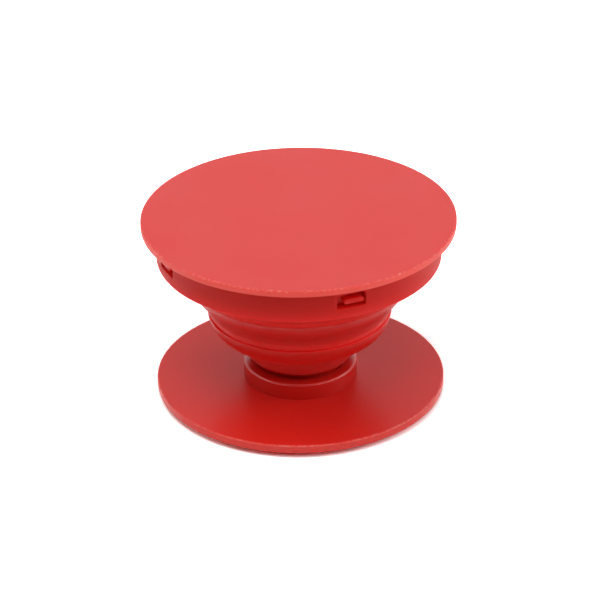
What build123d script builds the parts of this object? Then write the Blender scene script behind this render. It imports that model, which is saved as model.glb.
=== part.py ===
"""Collapsible phone grip: a flat cap on a folding bellows that turns in a stick-on base."""

import os

from build123d import *

# Adhesive pad under the base
pad_inset = 2.2  # how far the pad's edge lies inside the base plate's edge
pad_thickness = 0.8

# Base plate and the collar that the bellows turns in
base_diameter = 37.2
base_thickness = 1.05
base_edge_chamfer = 0.12
collar_diameter = 14.65
collar_height = 2.25
collar_edge_chamfer = 0.3  # round the collar's outer top edge
collar_mouth_chamfer = 0.4  # lead-in at the bore's top edge
pocket_roof = 1.8  # collar left above the pocket, which keeps the foot from pulling out

# Foot of the bellows, held under the collar by a rigid plug
neck_diameter = 10.8
neck_wall = 1.2
flange_width = 0.8  # how far the foot's flange stands out from the neck
flange_thickness = 0.75
plug_disc_thickness = 0.5
plug_stem_height = 2.9
plug_lead_in = 0.3
plug_clearance = 0.05
swivel_clearance = 0.25  # round the neck and round the flange
foot_float = 0.1  # below the plug, so that the foot turns clear of the pad

# Bellows: three stiff rings, each narrower than the one above, joined by thin webs
# A ring's face is one arc that bulges out, or an ogee of two: its slope is how far it leans in at its top edge
ring_wall = 1.3
web_wall = 0.6
ring_edge_chamfer = 0.15
neck_gap = 0.98  # from the collar's top up to the lowest ring
neck_floor = 0.9  # thickness of the step from the lowest ring in to the neck
lower_ring_foot_diameter = 13.2
lower_ring_top_diameter = 16.8
lower_ring_height = 2.87
lower_ring_slope = 20.0
lower_ring_arcs = 1
lower_web_height = 0.4
middle_ring_foot_diameter = 19.3
middle_ring_top_diameter = 23.7
middle_ring_height = 3.15
middle_ring_slope = 4.0
middle_ring_arcs = 1
upper_web_height = 0.6
upper_ring_foot_diameter = 23.9
upper_ring_top_diameter = 28.4
upper_ring_height = 4.1
upper_ring_slope = 18.0
upper_ring_arcs = 2
rim_web_height = 3.3
rim_wall = 1.1
rim_height = 4.0

# Cap: a disc with a short skirt that the bellows' rim clips into
cap_diameter = 40.0
cap_overhang = 1.85  # how far the disc stands out past the skirt
disc_thickness = 0.85
disc_edge_chamfer = 0.1
skirt_wall = 1.05
skirt_overlap = 0.32  # how far the skirt reaches below the rim
skirt_edge_chamfer = 0.2
rim_side_clearance = 0.1
rim_top_clearance = 0.15

# Windows in the skirt, in two opposite pairs, and the lugs that clip into them
pair_angle = -112.8  # bearing from +X of the middle between a pair's two windows
window_spacing = 86.8  # degrees between the windows of a pair
window_width = 3.75
window_height = 1.85
window_sill = 1.45  # skirt left below each window
window_corner_radius = 0.4  # at the top corners
lug_spacing = 89.0  # degrees between the lugs of a pair
lug_width = 2.67
lug_height = 0.53
lug_lift = 0.48  # from the window's sill up to the lug
lug_setback = 0.05  # how far the lug stops short of the skirt's outside
lug_ramp = 0.2  # how far the lug's front leans back at its top

# Radii and heights that follow from the sizes above
base_radius = base_diameter / 2
base_top = pad_thickness + base_thickness
collar_radius = collar_diameter / 2
collar_top = base_top + collar_height
pocket_depth = collar_top - pocket_roof - pad_thickness
neck_radius = neck_diameter / 2
neck_bore_radius = neck_radius - neck_wall
flange_radius = neck_radius + flange_width
plug_foot = pad_thickness + foot_float
flange_foot = plug_foot + plug_disc_thickness

lower_ring_foot = collar_top + neck_gap
lower_ring_top = lower_ring_foot + lower_ring_height
middle_ring_foot = lower_ring_top + lower_web_height
middle_ring_top = middle_ring_foot + middle_ring_height
upper_ring_foot = middle_ring_top + upper_web_height
upper_ring_top = upper_ring_foot + upper_ring_height
rim_foot = upper_ring_top + rim_web_height
rim_top = rim_foot + rim_height

cap_radius = cap_diameter / 2
skirt_radius = cap_radius - cap_overhang
skirt_bore_radius = skirt_radius - skirt_wall
skirt_foot = rim_foot - skirt_overlap
disc_underside = rim_top + rim_top_clearance
rim_radius = skirt_bore_radius - rim_side_clearance
rim_bore_radius = rim_radius - rim_wall

window_foot = skirt_foot + window_sill
lug_foot = window_foot + lug_lift
lug_top = lug_foot + lug_height
lug_front_radius = skirt_radius - lug_setback
lug_root_radius = rim_radius - rim_wall / 2
pair_bearings = [pair_angle, pair_angle + 180]
window_turns = [-window_spacing / 2, window_spacing / 2]
lug_turns = [-lug_spacing / 2, lug_spacing / 2]
window_planes = [Plane.YZ.rotated((0, 0, bearing + turn)) for bearing in pair_bearings for turn in window_turns]
lug_planes = [Plane.XZ.rotated((0, 0, bearing + turn)) for bearing in pair_bearings for turn in lug_turns]

os.makedirs("parts", exist_ok=True)

# Adhesive pad
with BuildPart() as adhesive_pad:
    with BuildSketch():
        Circle(base_radius - pad_inset)
    extrude(amount=pad_thickness)

# Base plate: a disc with a collar, bored through and pocketed from below
with BuildPart() as base_plate:
    with BuildSketch(Plane.XY.offset(pad_thickness)):
        Circle(base_radius)
    extrude(amount=base_thickness)
    chamfer(base_plate.edges().filter_by(GeomType.CIRCLE), base_edge_chamfer)
    with BuildSketch(Plane.XY.offset(base_top)):
        Circle(collar_radius)
    extrude(amount=collar_height)
    chamfer(base_plate.faces().sort_by(Axis.Z)[-1].edges(), collar_edge_chamfer)
    with Locations(Plane(origin=(0, 0, pad_thickness), z_dir=(0, 0, -1))):
        CounterBoreHole(neck_radius + swivel_clearance, flange_radius + swivel_clearance, pocket_depth)
    collar_face = base_plate.faces().filter_by(GeomType.PLANE).sort_by(Axis.Z)[-1]
    chamfer(collar_face.inner_wires()[0].edges(), collar_mouth_chamfer)

# Bellows: rings, webs, rim and neck drawn as one wall and turned round the axis
rings = [
    (upper_ring_top_diameter, upper_ring_top, upper_ring_foot_diameter, upper_ring_foot,
     upper_ring_slope, upper_ring_arcs),
    (middle_ring_top_diameter, middle_ring_top, middle_ring_foot_diameter, middle_ring_foot,
     middle_ring_slope, middle_ring_arcs),
    (lower_ring_top_diameter, lower_ring_top, lower_ring_foot_diameter, lower_ring_foot,
     lower_ring_slope, lower_ring_arcs),
]
inward = Vector(-ring_wall, 0)
to_middle = inward / 2
with BuildPart() as bellows:
    with BuildSketch(Plane.XZ) as wall:
        web_start = Vector(rim_radius - rim_wall / 2, rim_foot + web_wall / 2)
        for top_diameter, top_height, foot_diameter, foot_height, slope, arcs in rings:
            top_edge = Vector(top_diameter / 2, top_height)
            foot_edge = Vector(foot_diameter / 2, foot_height)
            with BuildLine():
                arc_end = top_edge
                heading = Vector(0, -1).rotate(Axis.Z, -slope)
                for turn in range(arcs):
                    arc_start = arc_end
                    arc_end = arc_start + (foot_edge - top_edge) / arcs
                    face_arc = TangentArc(arc_start, arc_end, tangent=heading)
                    heading = face_arc % 1
                Polyline(foot_edge, foot_edge + inward, top_edge + inward, top_edge)
            make_face()
            ring_corners = wall.vertices(Select.LAST)
            crest = ring_corners.sort_by(Axis.X)[-1]
            lip = ring_corners.sort_by(Axis.Y)[:2].sort_by(Axis.X)[-1]
            chamfer([crest, lip], ring_edge_chamfer)
            with BuildLine():
                Line(web_start, top_edge + to_middle + Vector(0, -web_wall / 2))
            trace(line_width=web_wall)
            web_start = foot_edge + to_middle + Vector(0, web_wall / 2)
        with Locations((rim_bore_radius, rim_foot)):
            Rectangle(rim_wall, rim_height, align=Align.MIN)
        with Locations((neck_bore_radius, lower_ring_foot)):
            Rectangle(lower_ring_foot_diameter / 2 - ring_wall / 2 - neck_bore_radius, neck_floor, align=Align.MIN)
        with Locations((neck_bore_radius, flange_foot)):
            Rectangle(neck_wall, lower_ring_foot + neck_floor - flange_foot, align=Align.MIN)
            Rectangle(neck_wall + flange_width, flange_thickness, align=Align.MIN)
    revolve(axis=Axis.Z)
    with BuildSketch(*lug_planes):
        with BuildLine():
            Polyline(
                (lug_root_radius, lug_foot),
                (lug_front_radius, lug_foot),
                (lug_front_radius - lug_ramp, lug_top),
                (lug_root_radius, lug_top),
                close=True,
            )
        make_face()
    extrude(amount=lug_width / 2, both=True)

# Foot plug: a disc under the foot's flange, with a stem that fills the neck
with BuildPart() as foot_plug:
    with BuildSketch(Plane.XY.offset(plug_foot)):
        Circle(flange_radius)
    extrude(amount=plug_disc_thickness)
    with BuildSketch(Plane.XY.offset(flange_foot)):
        Circle(neck_bore_radius - plug_clearance)
    extrude(amount=plug_stem_height)
    chamfer(foot_plug.faces().sort_by(Axis.Z)[-1].edges(), plug_lead_in)

# Cap: disc and skirt, with the windows cut through the skirt
with BuildPart() as cap:
    with BuildSketch(Plane.XY.offset(disc_underside)):
        Circle(cap_radius)
    extrude(amount=disc_thickness)
    chamfer(cap.edges().filter_by(GeomType.CIRCLE), disc_edge_chamfer)
    with BuildSketch(Plane.XY.offset(skirt_foot)):
        Circle(skirt_radius)
        Circle(skirt_bore_radius, mode=Mode.SUBTRACT)
    extrude(amount=disc_underside - skirt_foot)
    chamfer(cap.faces().sort_by(Axis.Z)[0].edges(), skirt_edge_chamfer)
    with BuildSketch(*window_planes) as window:
        with Locations((0, window_foot)):
            Rectangle(window_width, window_height, align=(Align.CENTER, Align.MIN))
        fillet(window.vertices().group_by(Axis.Y)[-1], window_corner_radius)
    extrude(amount=cap_radius, mode=Mode.SUBTRACT)

adhesive_pad.part.label = "adhesive_pad"
export_step(adhesive_pad.part, "parts/adhesive_pad.step")
base_plate.part.label = "base_plate"
export_step(base_plate.part, "parts/base_plate.step")
bellows.part.label = "bellows"
export_step(bellows.part, "parts/bellows.step")
foot_plug.part.label = "foot_plug"
export_step(foot_plug.part, "parts/foot_plug.step")
cap.part.label = "cap"
export_step(cap.part, "parts/cap.step")
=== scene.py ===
import math

import bmesh
import bpy
from mathutils import Matrix, Vector


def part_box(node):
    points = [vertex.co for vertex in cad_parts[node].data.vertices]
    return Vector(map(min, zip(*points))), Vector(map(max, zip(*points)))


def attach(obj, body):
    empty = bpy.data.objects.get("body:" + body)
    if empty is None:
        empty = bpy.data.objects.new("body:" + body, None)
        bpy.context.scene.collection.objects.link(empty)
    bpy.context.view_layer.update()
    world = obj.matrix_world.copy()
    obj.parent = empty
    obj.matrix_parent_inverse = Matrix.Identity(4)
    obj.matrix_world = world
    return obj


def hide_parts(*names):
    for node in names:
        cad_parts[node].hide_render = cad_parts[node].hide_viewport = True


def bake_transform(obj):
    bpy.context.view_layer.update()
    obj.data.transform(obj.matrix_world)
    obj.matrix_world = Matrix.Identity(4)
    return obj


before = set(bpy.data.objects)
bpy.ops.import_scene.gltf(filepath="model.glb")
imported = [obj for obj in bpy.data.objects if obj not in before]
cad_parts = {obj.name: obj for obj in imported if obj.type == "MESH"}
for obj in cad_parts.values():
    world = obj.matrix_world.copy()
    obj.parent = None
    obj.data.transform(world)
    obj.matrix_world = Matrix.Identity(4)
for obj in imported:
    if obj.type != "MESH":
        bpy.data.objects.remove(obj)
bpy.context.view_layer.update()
mm = 0.001  # sizes and heights below are in mm, unless a note says otherwise
print("frame loaded:", ", ".join(sorted(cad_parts)))

capLow, capHigh = (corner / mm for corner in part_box("cap"))
baseLow, baseHigh = (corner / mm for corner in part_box("base_plate"))
bellowsLow, bellowsHigh = (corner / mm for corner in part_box("bellows"))

clips = {  # windows and lugs in two opposite pairs, angles in degrees
    "middle": -112.8,  # from +X to the middle between a pair's two windows
    "windowSpacing": 86.8,
    "lugSpacing": 89.0,
}


# Mesh helpers

meshing = {
    "mergeDistance": 0.0005,
    "chordSlack": 0.1,  # how far inside its radius a flat face's middle may lie
    "sharpAngle": 35,  # degrees between faces, past which their edge is shaded sharp
}


def roundOff(bm, geom, reach, steps, affect):
    bmesh.ops.bevel(bm, geom=geom, offset=reach * mm, offset_type="OFFSET", segments=steps, profile=0.5,
                    affect=affect, clamp_overlap=True, material=-1)


def drawProfile(bm, corners, roundSteps, closed):
    # each corner is radius, height and rounding
    verts = [bm.verts.new((radius * mm, 0, height * mm)) for radius, height, rounding in corners]
    pairs = list(zip(verts, verts[1:]))
    if closed:
        pairs.append((verts[-1], verts[0]))
    for pair in pairs:
        bm.edges.new(pair)
    places = [vert.co.copy() for vert in verts]
    for index, vert in enumerate(verts):
        rounding = corners[index][2]
        if rounding:
            before = places[index] - places[index - 1]
            after = places[(index + 1) % len(places)] - places[index]
            reach = rounding * math.tan(before.angle(after) / 2)  # back from the corner to its arc
            roundOff(bm, [vert], reach, roundSteps, "VERTICES")


def turnWhole(bm, steps):
    bmesh.ops.spin(bm, geom=bm.verts[:] + bm.edges[:], cent=(0, 0, 0), axis=(0, 0, 1),
                   angle=2 * math.pi, steps=steps, use_merge=True)
    closeMesh(bm)


def turnPastOpenings(bm, opening, spacing, wallSteps):
    # spins the drawn profile once round from the first opening, in stretches of degrees and steps
    wide = sum(angle for angle, steps in opening)
    near = (spacing - wide, wallSteps)
    far = (180 - spacing - wide, wallSteps)
    start = math.radians(clips["middle"] - (spacing + wide) / 2)
    bmesh.ops.rotate(bm, verts=bm.verts, cent=(0, 0, 0), matrix=Matrix.Rotation(start, 3, "Z"))
    geom = bm.verts[:] + bm.edges[:]
    for angle, steps in (*opening, near, *opening, far) * 2:
        turned = bmesh.ops.spin(bm, geom=geom, cent=(0, 0, 0), axis=(0, 0, 1),
                                angle=math.radians(angle), steps=steps)
        geom = turned["geom_last"]
    closeMesh(bm)


def closeMesh(bm):
    bmesh.ops.remove_doubles(bm, verts=bm.verts, dist=meshing["mergeDistance"] * mm)
    bmesh.ops.recalc_face_normals(bm, faces=bm.faces)


def makePiece(name, bm):
    mesh = bpy.data.meshes.new(name)
    bm.to_mesh(mesh)
    bm.free()
    mesh.shade_smooth()
    mesh.set_sharp_from_angle(angle=math.radians(meshing["sharpAngle"]))
    piece = bpy.data.objects.new(name, mesh)
    bpy.context.scene.collection.objects.link(piece)
    # keeps flat faces flat beside rounded edges
    evener = piece.modifiers.new("even shading", "WEIGHTED_NORMAL")
    evener.keep_sharp = True
    return piece


def bearingOff(place, bearing):
    # degrees from a bearing to a place, between -180 and 180
    turn = math.degrees(math.atan2(place.y, place.x)) - bearing
    return (turn + 180) % 360 - 180


def pairBearings(spacing):
    return [clips["middle"] + half + side * spacing / 2 for half in (0, 180) for side in (-1, 1)]


# Material helpers

moulding = {
    "grainScale": 5200,  # moulded grain; the scales are in features per metre
    "grainDetail": 2,
    "grainDepth": 0.02,
    "cloudScale": 90,  # slow drift of tone over a piece
    "cloudDetail": 3,
    "cloudRange": (0.3, 0.7),
    "fleckScale": 2600,  # pale spots along an edge, partly rubbed wear and partly a painted highlight
    "fleckDetail": 3,
    "gapScale": 180,  # stretches where the spots thin out
    "gapDetail": 1,
    "gapRange": (0.42, 0.6),
    "gapShares": (0.45, 1),  # what is left of the spots, in a gap and outside it
    "flowScale": 60,  # flow lines that run level round a piece
    "flowDetail": 3,
    "flowSqueeze": 45,  # how much finer they are upwards than sideways
    "flowDepth": 0.03,
    "glowSpread": (1.0, 0.12, 0.08),  # how far red, green and blue travel in it, as shares of the depth
    "glowDepth": 0.8,
}


def startMaterial(name):
    material = bpy.data.materials.new(name)
    material.use_nodes = True
    return material, material.node_tree


def dress(piece, material):
    piece.data.materials.clear()
    piece.data.materials.append(material)


def dressAbove(piece, material, height):
    # gives the faces above a height a finish of their own
    piece.data.materials.append(material)
    for face in piece.data.polygons:
        if face.center.z > height * mm:
            face.material_index = 1


def addNoise(tree, place, scale, detail):
    noise = tree.nodes.new("ShaderNodeTexNoise")
    noise.inputs["Scale"].default_value = scale
    noise.inputs["Detail"].default_value = detail
    tree.links.new(place, noise.inputs["Vector"])
    return noise.outputs["Fac"]


def addRange(tree, value, fromRange, toRange):
    spread = tree.nodes.new("ShaderNodeMapRange")
    spread.interpolation_type = "SMOOTHSTEP"
    spread.inputs["From Min"].default_value, spread.inputs["From Max"].default_value = fromRange
    spread.inputs["To Min"].default_value, spread.inputs["To Max"].default_value = toRange
    tree.links.new(value, spread.inputs["Value"])
    return spread.outputs["Result"]


def addFade(tree, measure, start, end, toRange):
    # follows a height or a distance on the piece from start to end
    return addRange(tree, measure, (start * mm, end * mm), toRange)


def addMath(tree, operation, first, second):
    result = tree.nodes.new("ShaderNodeMath")
    result.operation = operation
    tree.links.new(first, result.inputs[0])
    tree.links.new(second, result.inputs[1])
    return result.outputs["Value"]


def addTint(tree, share, tone):
    # lays a tone over whatever its input A is given
    tint = tree.nodes.new("ShaderNodeMix")
    tint.data_type = "RGBA"
    tint.inputs["B"].default_value = (*tone, 1)
    tree.links.new(share, tint.inputs["Factor"])
    return tint


def addBump(tree, height, strength, depth):
    bump = tree.nodes.new("ShaderNodeBump")
    bump.inputs["Strength"].default_value = strength
    bump.inputs["Distance"].default_value = depth * mm
    tree.links.new(height, bump.inputs["Height"])
    return bump


def addReach(tree, place):
    # distance from the axis
    level = tree.nodes.new("ShaderNodeVectorMath")
    level.operation = "MULTIPLY"
    level.inputs[1].default_value = (1, 1, 0)
    tree.links.new(place, level.inputs[0])
    reach = tree.nodes.new("ShaderNodeVectorMath")
    reach.operation = "LENGTH"
    tree.links.new(level.outputs["Vector"], reach.inputs[0])
    return reach.outputs["Value"]


def addHeight(tree, place):
    parts = tree.nodes.new("ShaderNodeSeparateXYZ")
    tree.links.new(place, parts.inputs["Vector"])
    return parts.outputs["Z"]


def addPaintedRimLightMask(tree, place, rim, edge):
    # painted light on the thin rim of a disc, standing in for light that leaks through it
    radius = edge[0]
    return addFade(tree, addReach(tree, place), radius - rim["depth"], radius, (0, rim["amount"]))


def addWearAndHighlightFleckMask(tree, place, rim, edge):
    # pale spots in a narrow band along the disc's top edge, partly rubbed wear and partly a painted
    # highlight along that edge
    radius, top = edge
    band = addFade(tree, addReach(tree, place), radius - rim["fleckWidth"], radius, (0, 1))
    row = addFade(tree, addHeight(tree, place), top - rim["fleckWidth"], top, (0, 1))
    spots = addNoise(tree, place, moulding["fleckScale"], moulding["fleckDetail"])
    chosen = addRange(tree, spots, rim["fleckCut"], (0, rim["fleckAmount"]))
    gaps = addNoise(tree, place, moulding["gapScale"], moulding["gapDetail"])
    stretches = addRange(tree, gaps, moulding["gapRange"], moulding["gapShares"])
    nearEdge = addMath(tree, "MULTIPLY", band, row)
    return addMath(tree, "MULTIPLY", nearEdge, addMath(tree, "MULTIPLY", chosen, stretches))


def addBandMask(tree, place, band):
    # a stretch of height with soft ends
    low, high = band["between"]
    soft = band["soft"]
    height = addHeight(tree, place)
    rise = addFade(tree, height, low - soft, low + soft, (0, band["share"]))
    fall = addFade(tree, height, high - soft, high + soft, (1, 0))
    return addMath(tree, "MULTIPLY", rise, fall)


def addFlowLines(tree, place):
    squeeze = tree.nodes.new("ShaderNodeMapping")
    squeeze.inputs["Scale"].default_value = (1, 1, moulding["flowSqueeze"])
    tree.links.new(place, squeeze.inputs["Vector"])
    return addNoise(tree, squeeze.outputs["Vector"], moulding["flowScale"], moulding["flowDetail"])


def mouldedPlastic(name, look, edge=None):
    # edge is the radius and height of a disc's top edge, for a look that has a rim
    material, tree = startMaterial(name)
    shader = tree.nodes["Principled BSDF"]
    shader.inputs["Specular IOR Level"].default_value = look["gloss"]
    shader.inputs["Subsurface Weight"].default_value = look["glow"]
    shader.inputs["Subsurface Radius"].default_value = moulding["glowSpread"]
    shader.inputs["Subsurface Scale"].default_value = moulding["glowDepth"] * mm
    place = tree.nodes.new("ShaderNodeTexCoord").outputs["Object"]
    cloud = addNoise(tree, place, moulding["cloudScale"], moulding["cloudDetail"])
    tint = addTint(tree, cloud, look["pale"])
    tint.inputs["A"].default_value = (*look["deep"], 1)
    overlays = []
    # painted light on the rim, and pale spots on its top edge that are partly wear and partly a painted
    # highlight
    if "rim" in look:
        overlays.append((addPaintedRimLightMask(tree, place, look["rim"], edge), look["rim"]["tone"]))
        overlays.append((addWearAndHighlightFleckMask(tree, place, look["rim"], edge), look["rim"]["fleckTone"]))
    # painted light and shade, laid on in bands of height
    for band in look.get("bands", []):
        overlays.append((addBandMask(tree, place, band), band["tone"]))
    for mask, tone in overlays:
        under = tint
        tint = addTint(tree, mask, tone)
        tree.links.new(under.outputs["Result"], tint.inputs["A"])
    tree.links.new(tint.outputs["Result"], shader.inputs["Base Color"])
    roughness = addRange(tree, cloud, moulding["cloudRange"], look["roughness"])
    tree.links.new(roughness, shader.inputs["Roughness"])
    grain = addNoise(tree, place, moulding["grainScale"], moulding["grainDetail"])
    bump = addBump(tree, grain, look["grain"], moulding["grainDepth"])
    if "flow" in look:
        lines = addBump(tree, addFlowLines(tree, place), look["flow"], moulding["flowDepth"])
        tree.links.new(lines.outputs["Normal"], bump.inputs["Normal"])
    tree.links.new(bump.outputs["Normal"], shader.inputs["Normal"])
    return material


# Cap

cap = {
    "discThickness": 0.85,
    "discEdge": 0.1,
    "skirtRadius": 18.15,
    "skirtWall": 1.05,
    "skirtEdge": 0.2,
    "rootEdge": 0.12,
    "edgeSteps": 4,
    "windowWidth": 3.75,
    "windowHeight": 1.85,
    "windowSill": 1.45,
    "windowCorner": 0.4,
    "windowFootCorner": 0.14,
    "windowEdge": 0.13,
    "windowEdgeSteps": 2,
    "windowSlack": 0.01,  # for finding the window's outline, in mm and in degrees
    "cornerSteps": 3,
    "middleSteps": 8,
    "wallSteps": 60,
    "look": {
        "deep": (0.69, 0.0105, 0.0055),
        "pale": (0.72, 0.0135, 0.0085),
        "roughness": (0.52, 0.56),
        "grain": 0.25,
        "gloss": 0.17,
        "glow": 0.6,
        "bands": [  # painted light: the skirt is painted lighter towards its foot, with a bright painted line along the foot's edge
            {"between": (17.0, 20.2), "soft": 1.0, "share": 1.0, "tone": (0.83, 0.017, 0.012)},
            {"between": (18.5, 19.36), "soft": 0.06, "share": 1.0, "tone": (0.97, 0.035, 0.028)},
        ],
        # painted light on the rim, and pale spots on the top edge that are partly wear and partly a painted
        # highlight
        "rim": {"depth": 0.1, "amount": 0.8, "tone": (1.0, 0.085, 0.055),
                "fleckWidth": 0.36, "fleckCut": (0.48, 0.64),
                "fleckAmount": 0.6, "fleckTone": (0.95, 0.3, 0.24)},
    },
    "discLook": {"gloss": 0.52},  # the disc is shinier than the skirt
}
capEdge = (capHigh.x, capHigh.z)
discUnderside = capHigh.z - cap["discThickness"]
skirtInside = cap["skirtRadius"] - cap["skirtWall"]
windowFoot = capLow.z + cap["windowSill"]
windowTop = windowFoot + cap["windowHeight"]
windowTurn = math.degrees(cap["windowWidth"] / cap["skirtRadius"])


def buildCap():
    outside = cap["skirtRadius"]
    corner = cap["windowCorner"]
    drops = [corner * step / cap["cornerSteps"] for step in range(cap["cornerSteps"], -1, -1)]
    rows = [windowFoot, windowFoot + cap["windowFootCorner"]] + [windowTop - drop for drop in drops]
    corners = [(0, capHigh.z, 0), (*capEdge, cap["discEdge"]), (capHigh.x, discUnderside, cap["discEdge"])]
    corners += [(outside, discUnderside, cap["rootEdge"])]
    corners += [(outside, row, 0) for row in reversed(rows)]
    corners += [(outside, capLow.z, cap["skirtEdge"]), (skirtInside, capLow.z, cap["rootEdge"])]
    corners += [(skirtInside, row, 0) for row in rows]
    corners += [(skirtInside, discUnderside, cap["rootEdge"]), (0, discUnderside, 0)]
    bm = bmesh.new()
    drawProfile(bm, corners, cap["edgeSteps"], False)
    cornerTurn = math.degrees(corner / outside)
    rounded = (cornerTurn, cap["cornerSteps"])
    window = [rounded, (windowTurn - 2 * cornerTurn, cap["middleSteps"]), rounded]
    turnPastOpenings(bm, window, clips["windowSpacing"], cap["wallSteps"])
    for bearing in pairBearings(clips["windowSpacing"]):
        cutWindow(bm, bearing)
    bmesh.ops.recalc_face_normals(bm, faces=bm.faces)
    return makePiece("grip_cap", bm)


def inWindow(place, bearing, slack):
    aside = abs(bearingOff(place, bearing)) < windowTurn / 2 + slack
    level = windowFoot - slack < place.z / mm < windowTop + slack
    return aside and level and place.xy.length / mm > skirtInside - meshing["chordSlack"]


def cutWindow(bm, bearing):
    hole = [face for face in bm.faces if inWindow(face.calc_center_median(), bearing, 0)]
    bmesh.ops.delete(bm, geom=hole, context="FACES")
    outline = [edge for edge in bm.edges if edge.is_boundary
               and all(inWindow(vert.co, bearing, cap["windowSlack"]) for vert in edge.verts)]
    for vert in {vert for edge in outline for vert in edge.verts}:
        roundCorner(vert, bearing)
    skirtMiddle = (cap["skirtRadius"] + skirtInside) / 2
    outer = [edge for edge in outline if edge.verts[0].co.xy.length / mm > skirtMiddle]
    bmesh.ops.bridge_loops(bm, edges=outline)
    roundOff(bm, outer, cap["windowEdge"], cap["windowEdgeSteps"], "EDGES")


def roundCorner(vert, bearing):
    # draws a point of the window's outline in onto its corner arc
    middle = (windowFoot + windowTop) / 2
    across = math.radians(bearingOff(vert.co, bearing)) * cap["skirtRadius"]
    level = vert.co.z / mm - middle
    corner = cap["windowCorner"] if level > 0 else cap["windowFootCorner"]
    straightAcross = cap["windowWidth"] / 2 - corner
    straightLevel = cap["windowHeight"] / 2 - corner
    pastSide = abs(across) - straightAcross
    pastLevel = abs(level) - straightLevel
    if min(pastSide, pastLevel) > meshing["mergeDistance"]:
        shrink = corner / math.hypot(pastSide, pastLevel)
        newAcross = math.copysign(straightAcross + pastSide * shrink, across)
        newLevel = math.copysign(straightLevel + pastLevel * shrink, level)
        radius = vert.co.xy.length
        turn = math.radians(bearing) + newAcross / cap["skirtRadius"]
        vert.co = Vector((radius * math.cos(turn), radius * math.sin(turn), (middle + newLevel) * mm))


capPiece = buildCap()
dress(capPiece, mouldedPlastic("skirt matte red", cap["look"], capEdge))
discPlastic = mouldedPlastic("disc matte red", cap["look"] | cap["discLook"], capEdge)
dressAbove(capPiece, discPlastic, discUnderside + cap["discEdge"] / 2)
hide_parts("cap")
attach(capPiece, "cap")
print("cap turned, windows cut:", len(capPiece.data.polygons), "faces")


# Bellows

bellows = {
    "ringWall": 1.3,
    "rings": [  # edges as radius and height; the slope in degrees at the top edge; arcs down the face
        {"top": (14.2, 16.2), "foot": (12.02, 12.3), "slope": 18, "arcs": 2, "crest": 0.25, "lip": 0.25,
         "ledge": 0.05, "step": 0.32, "stepEdge": 0.08, "floor": 0.6},
        {"top": (11.85, 11.5), "foot": (9.65, 8.35), "slope": 4, "arcs": 1, "crest": 0.25, "lip": 0.25,
         "ledge": 0.18, "step": 0.5, "stepEdge": 0.08, "floor": 0.6},
        {"top": (8.4, 7.95), "foot": (6.6, 5.08), "slope": 20, "arcs": 1, "crest": 0.25, "lip": 0.12,
         "ledge": 0.0, "step": 1.2, "stepEdge": 0.0, "floor": 0.9},  # its step ends at the neck
    ],
    "arcSteps": 12,
    "edgeSteps": 4,
    "rimClearance": 0.1,
    "rimWall": 1.1,
    "rimFoot": 19.5,
    "rimFloor": 0.6,
    "rimEdge": 0.1,
    "rimStep": 0.4,  # from the rim's outside in to the web
    "neckRadius": 5.4,
    "neckWall": 1.2,
    "flangeWidth": 0.8,
    "flangeThickness": 0.75,
    "lugWidth": 2.67,
    "lugHeight": 0.53,
    "lugFoot": 21.11,
    "lugFront": 18.1,
    "lugRamp": 0.2,  # how far the front leans back at its top
    "lugFacing": 0.9,  # least part of a front's normal that points straight out
    "lugCorner": 0.22,
    "lugCornerSteps": 4,
    "lugEdge": 0.1,
    "lugEdgeSteps": 3,
    "lugSteps": 8,
    "wallSteps": 60,
    "foldBetween": (5.0, 20.5),  # the stretch that folds, from the neck up to the rim
    "look": {
        "deep": (0.69, 0.012, 0.008),
        "pale": (0.72, 0.015, 0.010),
        "roughness": (0.4, 0.46),
        "grain": 0.06,
        "flow": 0.25,
        "gloss": 0.13,
        "glow": 0.8,
        "bands": [  # painted light and shade: a pale painted sheen on the lower ring, painted light on the thin webs, painted shade across the middle of the upper ring, and painted glow on the lugs and the rim behind the windows
            {"between": (4.9, 7.9), "soft": 0.15, "share": 0.4, "tone": (0.7, 0.09, 0.085)},
            {"between": (11.3, 12.35), "soft": 0.12, "share": 1.0, "tone": (0.9, 0.014, 0.01)},
            {"between": (13.0, 14.7), "soft": 0.5, "share": 1.0, "tone": (0.62, 0.011, 0.008)},
            {"between": (16.2, 17.1), "soft": 0.2, "share": 1.0, "tone": (0.86, 0.02, 0.014)},
            {"between": (20.4, 22.6), "soft": 0.15, "share": 1.0, "tone": (0.99, 0.035, 0.025)},
        ],
    },
    "upperLook": {"gloss": 0.26},  # the lower rings are duller
    "upperFrom": 12.1,  # just below the upper ring
}
rimRadius = skirtInside - bellows["rimClearance"]
lugTop = bellows["lugFoot"] + bellows["lugHeight"]
lugTurn = math.degrees(bellows["lugWidth"] / rimRadius)


def ringFace(ring):
    # points down a ring's outer face, between its top edge and its foot
    start = Vector(ring["top"])
    leg = (Vector(ring["foot"]) - start) / ring["arcs"]
    slope = math.radians(ring["slope"])
    heading = Vector((-math.sin(slope), -math.cos(slope)))
    points = []
    for arc in range(ring["arcs"]):
        swing = math.atan2(heading.cross(leg), heading.dot(leg))
        for step in range(1, bellows["arcSteps"] + 1):
            bend = swing * step / bellows["arcSteps"]
            reach = leg.length * math.sin(bend) / math.sin(swing)
            points.append(start + Matrix.Rotation(bend, 2) @ heading * reach)
        start = start + leg
        heading = Matrix.Rotation(2 * swing, 2) @ heading
    return [(point.x, point.y, 0) for point in points[:-1]]


def ringOutside(ring):
    topRadius, topHeight = ring["top"]
    footRadius, footHeight = ring["foot"]
    ledge = [(topRadius - ring["ledge"], topHeight, 0)] if ring["ledge"] else []
    crest = [(topRadius, topHeight, ring["crest"])]
    lip = [(footRadius, footHeight, ring["lip"]), (footRadius - ring["step"], footHeight, ring["stepEdge"])]
    return ledge + crest + ringFace(ring) + lip


def ringInside(ring):
    topRadius, topHeight = ring["top"]
    footRadius, footHeight = ring["foot"]
    wall = bellows["ringWall"]
    return [(topRadius - wall, topHeight, 0), (footRadius - wall, footHeight + ring["floor"], 0)]


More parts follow.
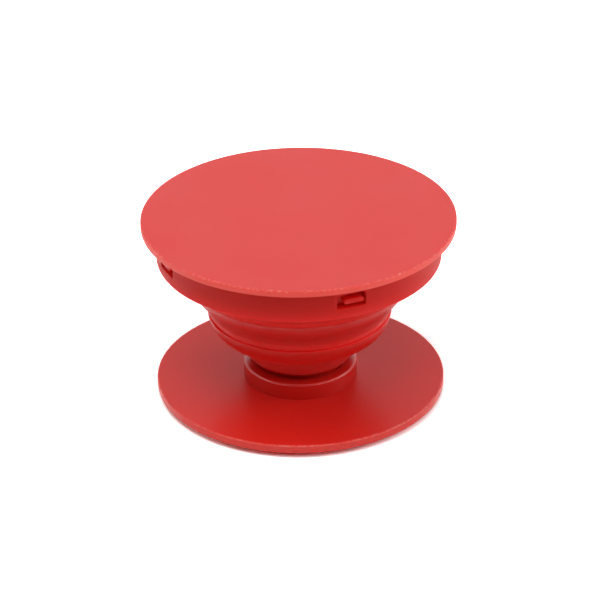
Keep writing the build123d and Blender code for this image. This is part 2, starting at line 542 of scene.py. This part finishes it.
def buildBellows():
    rimTop = bellowsHigh.z
    rimFoot = bellows["rimFoot"]
    rimBore = rimRadius - bellows["rimWall"]
    outside = [(rimRadius, rimTop, bellows["rimEdge"])]
    outside += [(rimRadius, lugTop, 0), (rimRadius, bellows["lugFoot"], 0)]
    outside += [(rimRadius, rimFoot, bellows["rimEdge"]), (rimRadius - bellows["rimStep"], rimFoot, 0)]
    inside = [(rimBore, rimTop, 0), (rimBore, rimFoot + bellows["rimFloor"], 0)]
    for ring in bellows["rings"]:
        outside += ringOutside(ring)
        inside += ringInside(ring)
    neck = bellows["neckRadius"]
    neckBore = neck - bellows["neckWall"]
    neckTop = inside[-1][1]
    flange = neck + bellows["flangeWidth"]
    flangeFoot = bellowsLow.z
    flangeTop = flangeFoot + bellows["flangeThickness"]
    outside += [(neck, flangeTop, 0), (flange, flangeTop, 0), (flange, flangeFoot, 0)]
    inside += [(neckBore, neckTop, 0), (neckBore, flangeFoot, 0)]
    bm = bmesh.new()
    drawProfile(bm, outside + inside[::-1], bellows["edgeSteps"], True)
    turnPastOpenings(bm, [(lugTurn, bellows["lugSteps"])], clips["lugSpacing"], bellows["wallSteps"])
    for bearing in pairBearings(clips["lugSpacing"]):
        raiseLug(bm, bearing)
    bmesh.ops.recalc_face_normals(bm, faces=bm.faces)
    return makePiece("folding_bellows", bm)


def inLug(place, bearing):
    aside = abs(bearingOff(place, bearing)) < lugTurn / 2
    level = bellows["lugFoot"] < place.z / mm < lugTop
    return aside and level and place.xy.length / mm > rimRadius - meshing["chordSlack"]


def raiseLug(bm, bearing):
    # pulls a patch of the rim out into a block with rounded corners
    turn = math.radians(bearing)
    outward = Vector((math.cos(turn), math.sin(turn), 0))
    aside = Vector((-outward.y, outward.x, 0))
    root = [face for face in bm.faces if inLug(face.calc_center_median(), bearing)]
    grown = bmesh.ops.extrude_face_region(bm, geom=root)["geom"]
    bmesh.ops.delete(bm, geom=root, context="FACES_ONLY")
    pulled = {item for item in grown if isinstance(item, bmesh.types.BMVert)}
    for vert in pulled:
        rise = (vert.co.z / mm - bellows["lugFoot"]) / bellows["lugHeight"]
        front = bellows["lugFront"] - bellows["lugRamp"] * rise
        vert.co += outward * (front * mm - vert.co.dot(outward))  # a flat front
    nearEnds = max(abs(vert.co.dot(aside)) for vert in pulled) - bellows["lugCorner"] * mm
    posts = [edge for edge in bm.edges if sum(vert in pulled for vert in edge.verts) == 1
             and min(abs(vert.co.dot(aside)) for vert in edge.verts) > nearEnds]
    roundOff(bm, posts, bellows["lugCorner"], bellows["lugCornerSteps"], "EDGES")
    bm.normal_update()
    lugMiddle = (rimRadius + bellows["lugFront"]) / 2
    fronts = {face for face in bm.faces if face.normal.dot(outward) > bellows["lugFacing"]
              and face.calc_center_median().dot(outward) / mm > lugMiddle}
    edges = [edge for edge in bm.edges if sum(face in fronts for face in edge.link_faces) == 1]
    roundOff(bm, edges, bellows["lugEdge"], bellows["lugEdgeSteps"], "EDGES")


bellowsPiece = buildBellows()
dress(bellowsPiece, mouldedPlastic("lower rings dull red", bellows["look"]))
upperPlastic = mouldedPlastic("upper ring satin red", bellows["look"] | bellows["upperLook"])
dressAbove(bellowsPiece, upperPlastic, bellows["upperFrom"])
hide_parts("bellows")
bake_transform(bellowsPiece)
print("bellows turned:", len(bellowsPiece.data.polygons), "faces")


# Base plate

base = {
    "thickness": 1.05,
    "topEdge": 0.14,
    "footEdge": 0.06,
    "collarRadius": 7.325,
    "collarEdge": 0.32,
    "collarMouth": 0.4,
    "boreRadius": 5.65,
    "pocketRadius": 6.45,
    "pocketTop": 2.3,
    "markRadius": 10.4,  # faint ring left by the mould
    "markWidth": 0.26,
    "markDepth": 0.014,
    "edgeSteps": 6,
    "turnSteps": 256,
    "look": {
        "deep": (0.69, 0.018, 0.012),
        "pale": (0.72, 0.021, 0.015),
        "roughness": (0.3, 0.34),
        "grain": 0.12,
        "gloss": 0.13,
        "glow": 0.6,
        # painted light on the rim, and pale spots on the top edge that are partly wear and partly a painted
        # highlight
        "rim": {"depth": 0.1, "amount": 0.55, "tone": (0.98, 0.12, 0.1),
                "fleckWidth": 0.28, "fleckCut": (0.28, 0.6),
                "fleckAmount": 0.66, "fleckTone": (0.92, 0.28, 0.23)},
    },
    "collarLook": {"gloss": 0.55, "roughness": (0.195, 0.221)},  # the collar is worn smooth
}
plateTop = baseLow.z + base["thickness"]
plateEdge = (baseHigh.x, plateTop)


def buildBase():
    mark = base["markRadius"]
    half = base["markWidth"] / 2
    corners = [
        (base["pocketRadius"], baseLow.z, 0),
        (baseHigh.x, baseLow.z, base["footEdge"]),
        (*plateEdge, base["topEdge"]),
        (mark + half, plateTop, 0),
        (mark, plateTop - base["markDepth"], 0),
        (mark - half, plateTop, 0),
        (base["collarRadius"], plateTop, 0),
        (base["collarRadius"], baseHigh.z, base["collarEdge"]),
        (base["boreRadius"], baseHigh.z, base["collarMouth"]),
        (base["boreRadius"], base["pocketTop"], 0),
        (base["pocketRadius"], base["pocketTop"], 0),
    ]
    bm = bmesh.new()
    drawProfile(bm, corners, base["edgeSteps"], True)
    turnWhole(bm, base["turnSteps"])
    return makePiece("grip_base", bm)


basePiece = buildBase()
dress(basePiece, mouldedPlastic("plate satin red", base["look"], plateEdge))
collarPlastic = mouldedPlastic("collar smooth red", base["look"] | base["collarLook"], plateEdge)
dressAbove(basePiece, collarPlastic, plateTop + base["topEdge"] / 2)
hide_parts("base_plate")
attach(basePiece, "base")
print("base turned:", len(basePiece.data.polygons), "faces")


# Pad and plug, which keep their own meshes

gel = {
    "deep": (0.55, 0.54, 0.52),
    "pale": (0.62, 0.61, 0.59),
    "roughness": (0.7, 0.8),
    "grain": 0.3,
    "gloss": 0.3,
    "glow": 0.3,
}
dress(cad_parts["adhesive_pad"], mouldedPlastic("adhesive gel", gel))
dress(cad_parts["foot_plug"], mouldedPlastic("plug satin red", base["look"], plateEdge))
print("pad and plug dressed")


# Floor, light and camera

studio = {  # lengths in metres
    "floorSize": 1.6,
    "floorTones": (0.82, 2.15),  # for the light it throws back, and where the camera or a reflection sees it
    "roomTones": (0.2, 1.0),  # what reflections see of the room, behind the camera and behind the object
    "roomTurn": (-0.8, -0.3),
    "lampDistance": 0.6,
    "lamps": [  # bearing from the camera's side and elevation in degrees, width and height, watts
        ("front overhead softbox", 0, 66, (0.4, 0.4), 1.45),
        ("right front strip", 72, 38, (0.8, 0.05), 0.95),
        ("right softbox", 90, 20, (0.35, 0.25), 0.6),
        ("back softbox", 180, 25, (0.4, 0.4), 0.27),
        ("back overhead softbox", 180, 60, (0.4, 0.4), 0.46),
        ("left softbox", 270, 30, (0.35, 0.35), 0.28),
        ("left front strip", 304, 38, (0.7, 0.03), 0.25),
        ("left overhead softbox", 270, 62, (0.35, 0.35), 0.85),
    ],
}


def addStraightRays(tree, ray):
    # what the camera sees, also through something clear
    return addMath(tree, "MAXIMUM", ray.outputs["Is Camera Ray"], ray.outputs["Is Transmission Ray"])


def buildFloor():
    bm = bmesh.new()
    bmesh.ops.create_grid(bm, x_segments=1, y_segments=1, size=studio["floorSize"] / 2)
    floor = makePiece("floor", bm)
    material, tree = startMaterial("white floor")
    tree.nodes.remove(tree.nodes["Principled BSDF"])
    ray = tree.nodes.new("ShaderNodeLightPath")
    seen = addMath(tree, "MAXIMUM", addStraightRays(tree, ray), ray.outputs["Is Glossy Ray"])
    paint = tree.nodes.new("ShaderNodeBsdfDiffuse")
    tree.links.new(addRange(tree, seen, (0, 1), studio["floorTones"]), paint.inputs["Color"])
    tree.links.new(paint.outputs["BSDF"], tree.nodes["Material Output"].inputs["Surface"])
    dress(floor, material)


def buildWorld():
    world = bpy.data.worlds.new("white room")
    bpy.context.scene.world = world
    world.use_nodes = True
    tree = world.node_tree
    background = tree.nodes["Background"]
    background.inputs["Color"].default_value = (1, 1, 1, 1)
    ray = tree.nodes.new("ShaderNodeLightPath")
    parts = tree.nodes.new("ShaderNodeSeparateXYZ")
    tree.links.new(tree.nodes.new("ShaderNodeTexCoord").outputs["Generated"], parts.inputs["Vector"])
    room = addRange(tree, parts.outputs["Y"], studio["roomTurn"], studio["roomTones"])
    mirrored = addMath(tree, "MULTIPLY", ray.outputs["Is Glossy Ray"], room)
    seen = addMath(tree, "MAXIMUM", addStraightRays(tree, ray), mirrored)
    tree.links.new(seen, background.inputs["Strength"])


def addLamp(name, bearing, elevation, size, power):
    lamp = bpy.data.lights.new(name, "AREA")
    lamp.shape = "RECTANGLE"
    lamp.size, lamp.size_y = size
    lamp.energy = power
    turn = Matrix.Rotation(math.radians(bearing), 3, "Z") @ Matrix.Rotation(-math.radians(elevation), 3, "X")
    towards = turn @ Vector((0, -1, 0))
    holder = bpy.data.objects.new(name, lamp)
    holder.location = towards * studio["lampDistance"]
    holder.rotation_euler = towards.to_track_quat("Z", "Y").to_euler()
    holder.visible_camera = False
    bpy.context.scene.collection.objects.link(holder)


view = {  # angles in degrees
    "elevation": 28.73,
    "roll": -0.75,
    "distance": 372.3,
    "aim": (0.057, 0.0, 12.394),
    "focal": 2900.0,  # in pixels of the 600 pixel frame
    "frame": 600.0,
    "sensor": 36.0,
    "clipStart": 10.0,
}


def buildCamera():
    lens = bpy.data.cameras.new("camera")
    lens.sensor_fit = "HORIZONTAL"
    lens.sensor_width = view["sensor"]
    lens.lens = view["focal"] / view["frame"] * view["sensor"]
    lens.clip_start = view["clipStart"] * mm
    camera = bpy.data.objects.new("camera", lens)
    tilt = math.radians(view["elevation"])
    back = Vector((0, -math.cos(tilt), math.sin(tilt)))
    camera.location = (Vector(view["aim"]) + back * view["distance"]) * mm
    turn = Matrix.Rotation(math.pi / 2 - tilt, 4, "X") @ Matrix.Rotation(math.radians(view["roll"]), 4, "Z")
    camera.rotation_euler = turn.to_euler()
    bpy.context.scene.collection.objects.link(camera)
    bpy.context.scene.camera = camera


buildFloor()
buildWorld()
for lamp in studio["lamps"]:
    addLamp(*lamp)
buildCamera()
bpy.context.scene.view_settings.view_transform = "Standard"
print("floor, lights and camera set")
